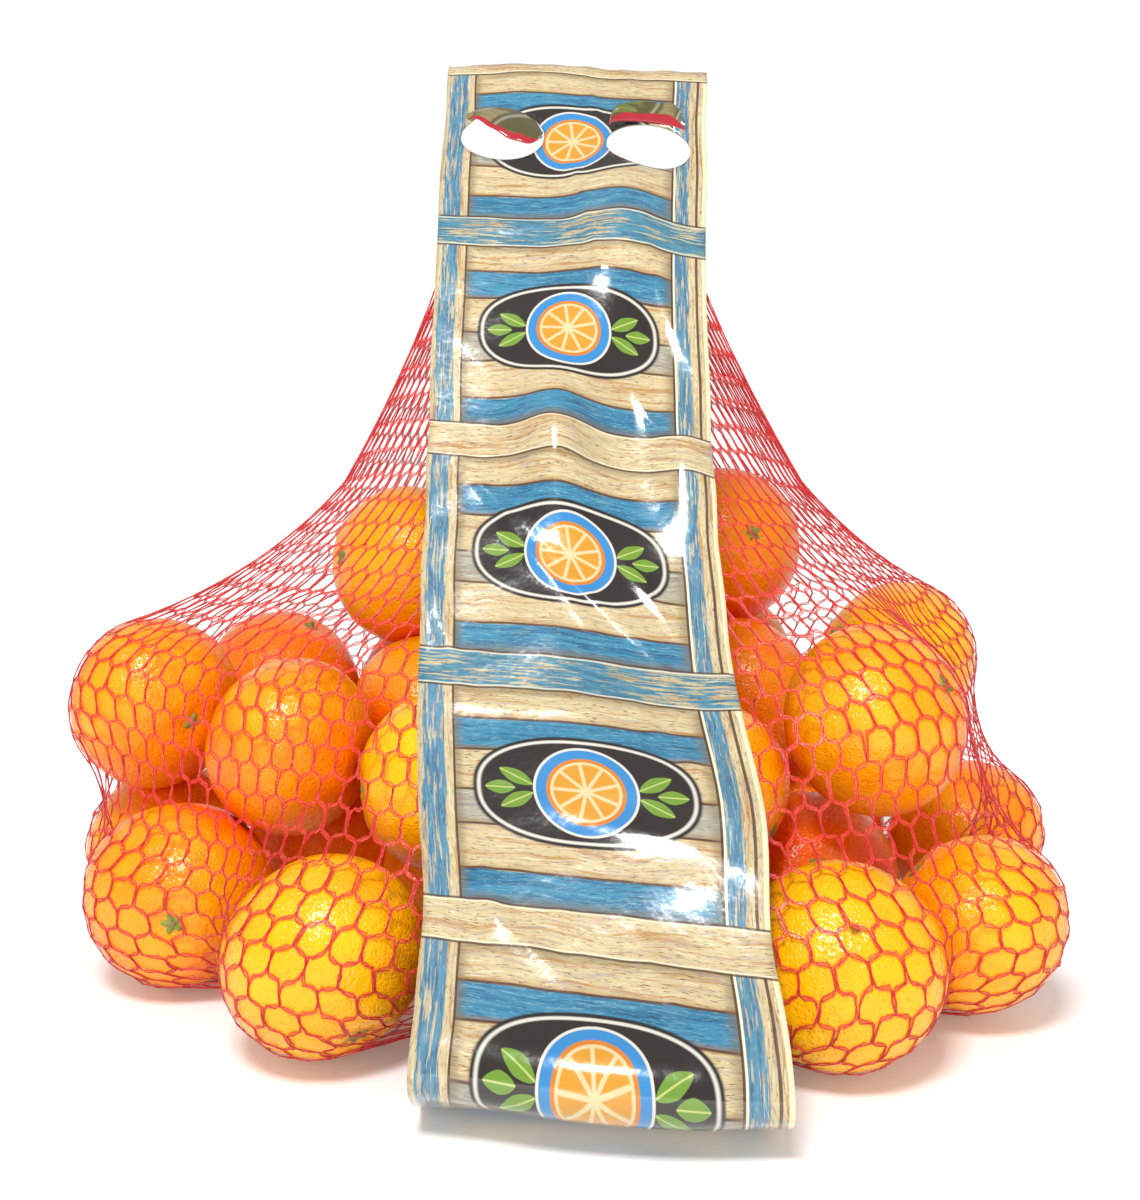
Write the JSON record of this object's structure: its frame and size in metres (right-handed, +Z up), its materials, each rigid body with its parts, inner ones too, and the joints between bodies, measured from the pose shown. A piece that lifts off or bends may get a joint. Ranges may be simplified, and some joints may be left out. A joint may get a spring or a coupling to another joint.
{
  "type": "net of mandarins",
  "caption": "Heap of mandarins in a knitted carry net closed by a looped film band whose top is a handle with finger holes.",
  "frame": {"origin": "on the floor, on the underside of the film strip below the middle of the heap", "axes": "+Z up; +X to the right as seen from the printed front; +Y from the front of the band to the back"},
  "size_m": [0.3666, 0.3211, 0.3315],
  "materials": {
    "mandarin": "waxy orange mandarin peel with fine pores",
    "net": "glossy red knitted polyethylene net of twin filaments",
    "stem": "dry green and brown stem ends",
    "film": "clear gloss film printed with blue and cream boards"
  },
  "bodies": {
    "root": {"net_of_mandarins": "mandarin", "film_band": "film"}
  },
  "joints": []
}
